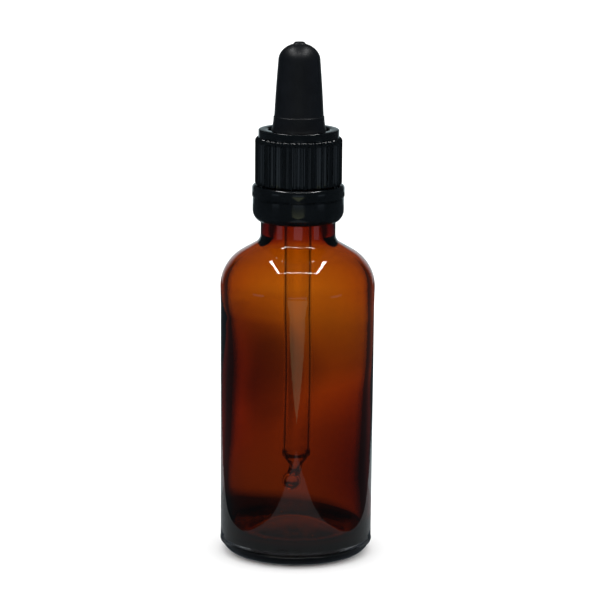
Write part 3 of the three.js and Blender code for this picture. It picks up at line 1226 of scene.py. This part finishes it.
@dataclass
class GlassPipette:
    """The clear drawn-glass pipette, with its ball tip bent a little off the axis."""

    radius: float = 3.5
    bore: float = 2.8
    top: float = 109.0
    bead_radius: float = 3.85
    bead_bottom: float = 107.0
    cone_top: float = 24.2
    cone_bottom: float = 21.9
    neck_radius: float = 1.6
    neck_bore: float = 0.7
    ball_radius: float = 2.35
    ball_centre: float = 17.6
    ball_bore: float = 1.5
    mouth: float = 0.6
    bead_round: float = 0.5
    cone_round: float = 0.5
    lean: float = 14.0
    bends: int = 4
    bend_drop: float = 0.35
    bend_reach: float = 0.2
    tube_start: float = 100.0
    facets: int = 96
    sharp_angle: float = 50.0
    piece: Piece | None = field(default=None, init=False)

    def _ball(self, size: float, neck: float, mouth: float, steps: int) -> Outline:
        """Draws the ball from its neck down to its mouth.

        Args:
            size: The ball's radius.
            neck: The radius of the neck that it hangs from.
            mouth: The radius of its mouth.
            steps: How many straight steps its arc takes.

        Returns:
            The ball's points.
        """
        start = math.degrees(math.acos(neck / size))
        stop = -math.degrees(math.acos(mouth / size))
        return arc((0, self.ball_centre), size, start, stop, steps)

    def _outline(self) -> Outline:
        """Draws the tube's section, closed on itself.

        Returns:
            The section's points.
        """
        bead = self.bead_round
        tube_foot = (self.radius, self.cone_top + self.cone_round)
        outside = [
            *arc((self.bead_radius - bead, self.top - bead), bead, 90, 0, 5),
            *arc((self.bead_radius - bead, self.bead_bottom + bead), bead, 0, -40, 4),
            (self.radius, self.bead_bottom - 0.3),
            *bow((self.radius, self.tube_start), tube_foot, 0.0, 24),
            (self.radius - 0.06, self.cone_top),
            *bow(
                (self.radius - 0.3, self.cone_top - 0.35),
                (self.neck_radius + 0.15, self.cone_bottom + 0.1), 0.05, 6,
            ),
            (self.neck_radius, self.cone_bottom - 0.25),
            (self.neck_radius - 0.05, self.cone_bottom - 0.9),
            *self._ball(self.ball_radius, self.neck_radius, self.mouth + 0.25, 16),
        ]
        inside = [
            *self._ball(self.ball_bore, self.neck_bore, self.mouth, 12)[::-1],
            (self.neck_bore, self.cone_bottom - 0.9),
            (self.neck_bore + 0.1, self.cone_bottom),
            *bow(
                (self.neck_bore + 0.5, self.cone_bottom + 0.6), (self.bore, self.cone_top + 0.7),
                0.12, 6,
            ),
            *bow((self.bore, self.cone_top + 2), (self.bore, self.top - 0.3), 0.0, 24),
            (self.bore + 0.3, self.top),
        ]
        closed = [*outside, *inside]
        return [*closed, closed[0]]

    def _bend_tip(self) -> None:
        """Bends the neck in small turns, each about the neck's own middle."""
        edit(self.piece)
        turn = math.radians(self.lean) / self.bends
        centre = Vector((0, 0, self.cone_bottom * MM))
        heading = 0.0
        below = self.cone_bottom
        for _ in range(self.bends):
            reach = (below + self.bend_reach) * MM
            normal = Vector((math.sin(heading), 0, math.cos(heading)))
            origin = centre.copy()
            select_where(
                self.piece, lambda co: (co - origin).dot(normal) < HAIR and co.z < reach
            )
            bpy.ops.transform.rotate(value=-turn, orient_axis="Y", center_override=tuple(centre))
            heading += turn
            centre += Vector((-math.sin(heading), 0, -math.cos(heading))) * self.bend_drop * MM
            below -= self.bend_drop
        bpy.ops.object.mode_set(mode="OBJECT")

    def build(self) -> Piece:
        """Models the pipette.

        Returns:
            The finished pipette.
        """
        self.piece = turn_on_lathe("ball_tip_pipette", self._outline(), self.facets)
        self._bend_tip()
        smooth(self.piece, self.sharp_angle)
        return dress(self.piece, DRAWN_GLASS.material(), "clear_glass", "dropper", "pipette")


# ---------------------------------------------------------------- studio


@dataclass(frozen=True)
class FloorPatch:
    """A lit patch of floor that the front of the glass mirrors, with its corners in millimetres."""

    name: str
    glow_name: str
    colour: str
    strength: float
    corners: Outline


@dataclass(frozen=True)
class RibCard:
    """A low dim card that the cap's ribs mirror as a stripe, between two bearings in degrees."""

    name: str
    start: float
    stop: float
    strength: float


def mirrored(half: Outline) -> Outline:
    """Closes the right half of an outline with its mirror image, without the first point's."""
    return [*half, *((-x, y) for x, y in half[:0:-1])]


FLOOR_PATCHES = (
    FloorPatch(
        "near_glint", "floor_glint", "e8f0f4", 0.33,
        mirrored([
            (0, -129.5), (20.8, -95), (28.8, -69), (32, -55), (37, -35), (39.3, -15), (46, 8),
            (57, 46),
        ]),
    ),
    FloorPatch(
        "rear_glint", "floor_rear", "dceef3", 0.5,
        [(57, 46), (62, 91), (45, 170), (40, 650), (-100, 650), (-78, 250), (-64, 91), (-57, 46)],
    ),
    FloorPatch(
        "far_glint", "floor_far", "f6ffcc", 0.7, mirrored([(0, -158.5), (73, -317), (116, -400)])
    ),
)
RIB_CARDS = (
    RibCard("rib_card_left", 203, 221, 0.5),
    RibCard("rib_card_front", 257, 283, 0.6),
    RibCard("rib_card_right", 319, 337, 0.5),
)


@dataclass
class Studio:
    """The pale floor, the white surround, the light cards and the camera."""

    camera_distance: float = 700.0
    camera_height: float = 207.0
    camera_aside: float = -0.25
    camera_pitch: float = 11.63
    camera_roll: float = 0.45
    lens: float = 175.5
    sensor: float = 36.0
    floor_size: float = 6000.0
    surround: float = 1.6
    lamp_height: float = 373.0
    lamp_front_half: float = 134.0
    lamp_back_half: float = 115.0
    lamp_front: float = -130.0
    lamp_back: float = 119.0
    lamp_width: float = 16.0
    lamp_glow: float = 30.0
    rail_share: float = 0.6
    rail_glow: float = 9.0
    diodes: int = 17
    diode_share: float = 0.36
    rib_card_radius: float = 300.0
    rib_card_low: float = 36.0
    rib_card_high: float = 62.0
    patch_lift: float = 0.4
    shade_radius: float = 27.0
    shade_lift: float = 0.7
    shade_glow: float = 0.1
    room_radius: float = 2500.0
    room_glow: float = 0.055
    backdrop_radius: float = 500.0
    backdrop_top: float = 225.0
    backdrop_half_angle: float = 40.0
    backdrop_fade_up: float = 130.0
    backdrop_fade_aside: tuple[float, float] = (140.0, 320.0)
    backdrop_glow: float = 0.8
    wall_steps: int = 96
    liner_radius: float = 80.0
    liner_foot: float = -60.0
    liner_height: float = 260.0
    liner_glow: float = 1.15
    liner_fade: tuple[float, float] = (33.0, 60.0)
    liner_edge: float = 0.1
    liner_span: tuple[float, float] = (-30.0, 70.0)
    liner_rise: tuple[tuple[float, float], ...] = (
        (0.0, 0.0), (1.0, 1.0), (0.2, 0.03), (0.25, 0.36), (0.316, 0.42), (0.391, 0.5),
        (0.44, 0.7), (0.48, 0.82), (0.54, 0.56), (0.6, 0.54), (0.69, 0.62), (0.767, 0.84),
        (0.82, 1.0),
    )
    blot_place: tuple[float, float, float] = (-11.0, 78.0, 36.8)
    blot_squat: float = 1.6
    blot_size: tuple[float, float] = (10.0, 24.0)
    blot_depth: float = 0.48

    def _emit(
        self, made: bpy.types.Material, colour: str, strength: float | bpy.types.NodeSocket
    ) -> bpy.types.Material:
        """Ends a card's material in a plain glow.

        Args:
            made: The material.
            colour: The glow's sRGB hex colour.
            strength: Its strength, or the output socket that gives it.

        Returns:
            The same material.
        """
        light = {"Color": linear(colour), "Strength": strength}
        glow = add_node(made.node_tree, "ShaderNodeEmission", light)
        add_node(made.node_tree, "ShaderNodeOutputMaterial", {"Surface": glow.outputs[0]})
        return made

    def _faded(
        self, tree: bpy.types.NodeTree, strength: float | bpy.types.NodeSocket, *fades: Fade
    ) -> bpy.types.NodeSocket:
        """Fades a card's strength smoothly over one or more distances.

        Args:
            tree: The card's node tree.
            strength: The strength to start from, or the output socket that gives it.
            *fades: For each, the distance's socket, where it starts and ends in millimetres, and
                the share of the strength at its start and at its end.

        Returns:
            The faded strength's socket.
        """
        for distance, near, far, near_share, far_share in fades:
            fade = add_node(
                tree, "ShaderNodeMapRange",
                {
                    "Value": distance, "From Min": near * MM, "From Max": far * MM,
                    "To Min": near_share, "To Max": far_share,
                },
                interpolation_type="SMOOTHSTEP",
            )
            product = {0: strength, 1: fade.outputs[0]}
            strength = add_node(tree, "ShaderNodeMath", product, operation="MULTIPLY").outputs[0]
        return strength

    def _glow(self, name: str, colour: str, strength: float) -> bpy.types.Material:
        """Returns a plain glowing material for a card."""
        return self._emit(blank_material(name), colour, strength)

    def _stage_card(self, card: Piece, material: bpy.types.Material, seen_by: SeenBy) -> None:
        """Makes an object a studio card that only some rays meet.

        Args:
            card: The object.
            material: Its glow.
            seen_by: The rays that meet it.
        """
        card.data.materials.clear()
        card.data.materials.append(material)
        card.visible_camera = False
        card.visible_diffuse = False
        card.visible_shadow = False
        card.visible_volume_scatter = False
        card.visible_glossy = "glossy" in seen_by.value
        card.visible_transmission = "transmission" in seen_by.value

    def build_camera(self) -> None:
        """Sets the camera at the front, a little above the cap, aimed at the middle of the bottle."""
        data = bpy.data.cameras.new("studio_camera")
        data.sensor_width = self.sensor
        data.lens = self.lens
        data.clip_end = 50
        camera = bpy.data.objects.new("studio_camera", data)
        bpy.context.scene.collection.objects.link(camera)
        camera.location = (
            self.camera_aside * MM, -self.camera_distance * MM, self.camera_height * MM
        )
        tilt = Matrix.Rotation(math.radians(90 - self.camera_pitch), 3, "X")
        roll = Matrix.Rotation(math.radians(self.camera_roll), 3, "Z")
        camera.rotation_euler = (tilt @ roll).to_euler()
        bpy.context.scene.camera = camera

    def build_floor(self) -> None:
        """Lays the pale floor, matt and faintly mottled."""
        floor = add_primitive(
            "studio_floor", bpy.ops.mesh.primitive_plane_add, size=self.floor_size * MM
        )
        floor.data.materials.append(BACKDROP_PAPER.material())
        floor.visible_glossy = False
        floor.visible_transmission = False

    def build_surround(self) -> None:
        """Sets the white surround, which lights the floor and stands behind the bottle."""
        world = bpy.data.worlds.new("white_surround")
        world.use_nodes = True
        world.node_tree.nodes.clear()
        light = {"Color": (1, 1, 1, 1), "Strength": self.surround}
        white = add_node(world.node_tree, "ShaderNodeBackground", light)
        add_node(world.node_tree, "ShaderNodeOutputWorld", {"Surface": white.outputs[0]})
        world.cycles_visibility.glossy = False
        world.cycles_visibility.transmission = False
        bpy.context.scene.world = world
        bpy.context.scene.view_settings.view_transform = "Standard"

    def _wall(
        self, name: str, radius: float, low: float, high: float, start: float, stop: float
    ) -> Piece:
        """Models an upright curved card round the bottle.

        Args:
            name: The card's name.
            radius: How far it stands from the axis.
            low: Height of its lower edge.
            high: Height of its upper edge.
            start: First bearing in degrees, from +X towards +Y.
            stop: Last bearing in degrees.

        Returns:
            The card.
        """
        first = math.radians(start)
        card = start_point(
            name, (radius * MM * math.cos(first), radius * MM * math.sin(first), low * MM)
        )
        bpy.ops.mesh.extrude_region_move(
            TRANSFORM_OT_translate={"value": (0, 0, (high - low) * MM)}
        )
        bpy.ops.mesh.select_all(action="SELECT")
        turn = math.radians(start - stop)
        bpy.ops.mesh.spin(steps=self.wall_steps, angle=turn, center=(0, 0, 0), axis=(0, 0, 1))
        bpy.ops.object.mode_set(mode="OBJECT")
        return card

    def build_room(self) -> None:
        """Puts a dim sphere round the whole stage: the room that every glossy face mirrors a little."""
        room = add_primitive(
            "dim_room", bpy.ops.mesh.primitive_uv_sphere_add,
            segments=48, ring_count=24, radius=self.room_radius * MM,
        )
        self._stage_card(room, self._glow("room_dim", "cfe4f2", self.room_glow), SeenBy.MIRRORS)

    def build_liner(self) -> None:
        """Stands a glowing liner round the bottle, which only shows through glass.

        It is brightest behind the shoulder, dims towards the floor and the sides, and has a dim blot.
        """
        liner = self._wall(
            "glass_liner", self.liner_radius, self.liner_foot, self.liner_height, 0, 360
        )
        made = blank_material("liner_glow")
        tree = made.node_tree
        place = add_node(tree, "ShaderNodeTexCoord")
        xyz = add_node(tree, "ShaderNodeSeparateXYZ", {0: place.outputs["Object"]})
        foot, top = self.liner_span
        span = {"Value": xyz.outputs["Z"], "From Min": foot * MM, "From Max": top * MM}
        height = add_node(tree, "ShaderNodeMapRange", span)
        rise = add_node(tree, "ShaderNodeValToRGB", {"Fac": height.outputs[0]})
        stops = rise.color_ramp.elements
        for stop, (share, glow) in zip(stops, self.liner_rise):
            stop.position = share
            stop.color = (glow, glow, glow, 1)
        for share, glow in self.liner_rise[2:]:
            stops.new(share).color = (glow, glow, glow, 1)
        aside = add_node(tree, "ShaderNodeMath", {0: xyz.outputs["X"]}, operation="ABSOLUTE")
        squat = add_node(
            tree, "ShaderNodeVectorMath",
            {0: place.outputs["Object"], 1: (1.0, 1.0, self.blot_squat)}, operation="MULTIPLY",
        )
        blot = add_node(
            tree, "ShaderNodeVectorMath",
            {0: squat.outputs[0], 1: tuple(c * MM for c in self.blot_place)},
            operation="DISTANCE",
        )
        strength = self._faded(
            tree, rise.outputs[0],
            (aside.outputs[0], *self.liner_fade, 1.0, self.liner_edge),
            (blot.outputs["Value"], *self.blot_size, self.blot_depth, 1.0),
        )
        bright = add_node(
            tree, "ShaderNodeMath", {0: strength, 1: self.liner_glow}, operation="MULTIPLY"
        )
        self._stage_card(liner, self._emit(made, "ffffff", bright.outputs[0]), SeenBy.GLASS)

    def build_backdrop_card(self) -> None:
        """Stands a white card behind the bottle, whose reflection draws its pale rims.

        Its glow fades out towards its sides and its top, so that no hard edge shows in the glass.
        """
        wall = self._wall(
            "white_card", self.backdrop_radius, 0, self.backdrop_top,
            90 - self.backdrop_half_angle, 90 + self.backdrop_half_angle,
        )
        made = blank_material("card_white")
        tree = made.node_tree
        place = add_node(tree, "ShaderNodeTexCoord")
        xyz = add_node(tree, "ShaderNodeSeparateXYZ", {0: place.outputs["Object"]})
        aside = add_node(tree, "ShaderNodeMath", {0: xyz.outputs["X"]}, operation="ABSOLUTE")
        strength = self._faded(
            tree, self.backdrop_glow,
            (aside.outputs[0], *self.backdrop_fade_aside, 1.0, 0.0),
            (xyz.outputs["Z"], self.backdrop_fade_up, self.backdrop_top, 1.0, 0.0),
        )
        self._stage_card(wall, self._emit(made, "dceff5", strength), SeenBy.MIRRORS)

    def build_rib_cards(self) -> None:
        """Stands three low dim cards round the front, which the ribs of the cap mirror as stripes."""
        for card in RIB_CARDS:
            wall = self._wall(
                card.name, self.rib_card_radius, self.rib_card_low, self.rib_card_high,
                card.start, card.stop,
            )
            glow = self._glow(card.name + "_glow", "cfe4f6", card.strength)
            self._stage_card(wall, glow, SeenBy.MIRRORS)

    def _bar(
        self, name: str, length: float, width: float, place: tuple[float, float, float], turn: float
    ) -> Piece:
        """Models one flat lamp bar facing down.

        Args:
            name: The bar's name.
            length: Its length along X.
            width: Its width along Y.
            place: Its middle.
            turn: How far it is turned about the upright, in degrees.

        Returns:
            The bar.
        """
        bar = add_primitive(name, bpy.ops.mesh.primitive_plane_add, size=1)
        bar.scale = (length * MM, width * MM, 1)
        bar.rotation_euler = (0, 0, math.radians(turn))
        bar.location = tuple(c * MM for c in place)
        bpy.ops.object.transform_apply(location=True, rotation=True, scale=True)
        return bar

    def build_lamp_bars(self) -> None:
        """Hangs the lamp frame over the bottle: a row of diodes in front and a bar on each side."""
        glow = self._glow("lamp_glow", "ffffff", self.lamp_glow)
        depth = self.lamp_back - self.lamp_front
        middle = (self.lamp_back + self.lamp_front) / 2
        across = (self.lamp_front_half + self.lamp_back_half) / 2
        skew = math.degrees(math.atan2(self.lamp_front_half - self.lamp_back_half, depth))
        for side, name in ((-1, "lamp_bar_left"), (1, "lamp_bar_right")):
            place = (side * across, middle, self.lamp_height)
            bar = self._bar(name, self.lamp_width, depth, place, side * skew)
            self._stage_card(bar, glow, SeenBy.MIRRORS_AND_GLASS)
        rail = self._bar(
            "lamp_rail", 2 * self.lamp_front_half, self.lamp_width * self.rail_share,
            (0, self.lamp_front, self.lamp_height + 1), 0,
        )
        self._stage_card(rail, self._glow("rail_glow", "ffffff", self.rail_glow), SeenBy.MIRRORS)
        pitch = 2 * self.lamp_front_half / (self.diodes - 1)
        row: list[Piece] = []
        for i in range(self.diodes):
            place = (i * pitch - self.lamp_front_half, self.lamp_front, self.lamp_height)
            row.append(add_primitive(
                "lamp_diodes", bpy.ops.mesh.primitive_circle_add,
                vertices=12, radius=pitch * self.diode_share * MM, fill_type="NGON",
                location=tuple(c * MM for c in place),
            ))
            bpy.ops.object.transform_apply(location=True, rotation=False, scale=False)
        self._stage_card(join(row), glow, SeenBy.MIRRORS_AND_GLASS)

    def build_floor_glints(self) -> None:
        """Lays the lit patches of floor, and the dim disc that stands for the bottle's own shade."""
        add_circle = bpy.ops.mesh.primitive_circle_add
        glows = [self._glow(p.glow_name, p.colour, p.strength) for p in FLOOR_PATCHES]
        for patch, glow in zip(FLOOR_PATCHES, glows):
            count = len(patch.corners)
            card = add_primitive(patch.name, add_circle, vertices=count, fill_type="NGON")
            for vertex, (x, y) in zip(card.data.vertices, patch.corners):
                vertex.co = (x * MM, y * MM, self.patch_lift * MM)
            self._stage_card(card, glow, SeenBy.MIRRORS)
        shade = add_primitive(
            "contact_shade", add_circle, vertices=64, radius=self.shade_radius * MM,
            fill_type="NGON", location=(0, 0, self.shade_lift * MM),
        )
        dark = self._glow("floor_shade", "cfe0f2", self.shade_glow)
        self._stage_card(shade, dark, SeenBy.MIRRORS)

    def build(self) -> None:
        """Builds the camera, the floor, the surround and every card."""
        self.build_camera()
        self.build_floor()
        self.build_surround()
        self.build_room()
        self.build_liner()
        self.build_backdrop_card()
        self.build_rib_cards()
        self.build_lamp_bars()
        self.build_floor_glints()


# ---------------------------------------------------------------- the whole scene


def main() -> None:
    """Builds the studio and then each piece in turn, and reports them."""
    logging.basicConfig(level=logging.INFO, format="%(name)s: %(message)s")
    Studio().build()
    for maker in (GlassBottle(), TamperBand(), ScrewCap(), RubberTeat(), GlassPipette()):
        piece = maker.build()
        LOG.info("%s: %d faces", piece.name, len(piece.data.polygons))
    deselect_all()


if __name__ == "__main__":
    main()
